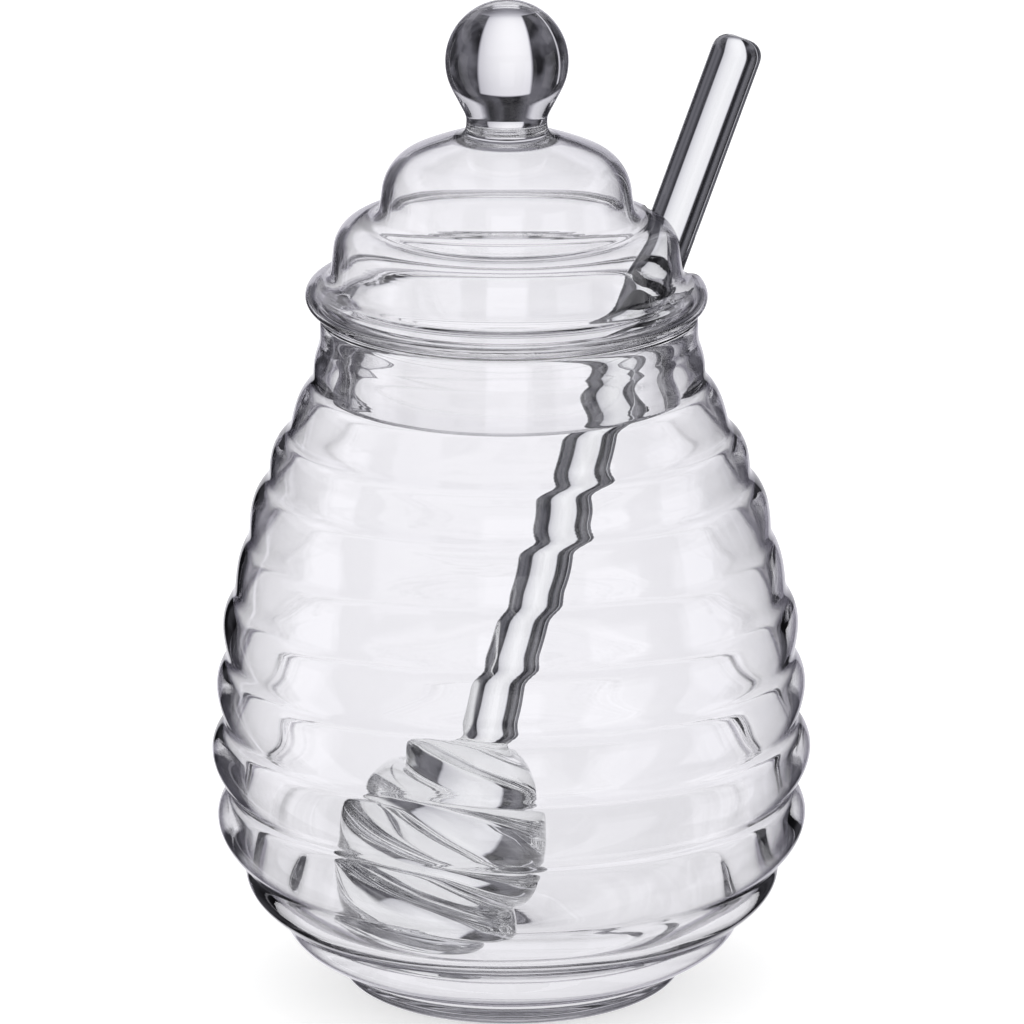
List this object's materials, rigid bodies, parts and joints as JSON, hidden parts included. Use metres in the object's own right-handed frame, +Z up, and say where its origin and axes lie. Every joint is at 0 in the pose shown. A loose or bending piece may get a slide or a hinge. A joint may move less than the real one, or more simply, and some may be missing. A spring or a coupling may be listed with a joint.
{
  "type": "honey pot",
  "caption": "Clear glass honey pot with a ridged beehive-shaped jar, a stepped lid with a ball knob, and a glass honey dipper that stands in the lid's notch",
  "frame": {"origin": "on the jar's axis, in the plane the jar stands on", "axes": "+Z up along the jar's axis; +X to the side the dipper leans to; the dipper leans 29 degrees from +X towards +Y"},
  "size_m": [0.0944, 0.0944, 0.1591],
  "materials": {
    "jar_glass": "clear, smooth, slightly wavy",
    "lid_glass": "clear, smooth",
    "dipper_glass": "clear, smooth"
  },
  "bodies": {
    "root": {"jar": "jar_glass", "lid": "lid_glass", "dipper": "dipper_glass"}
  },
  "joints": []
}
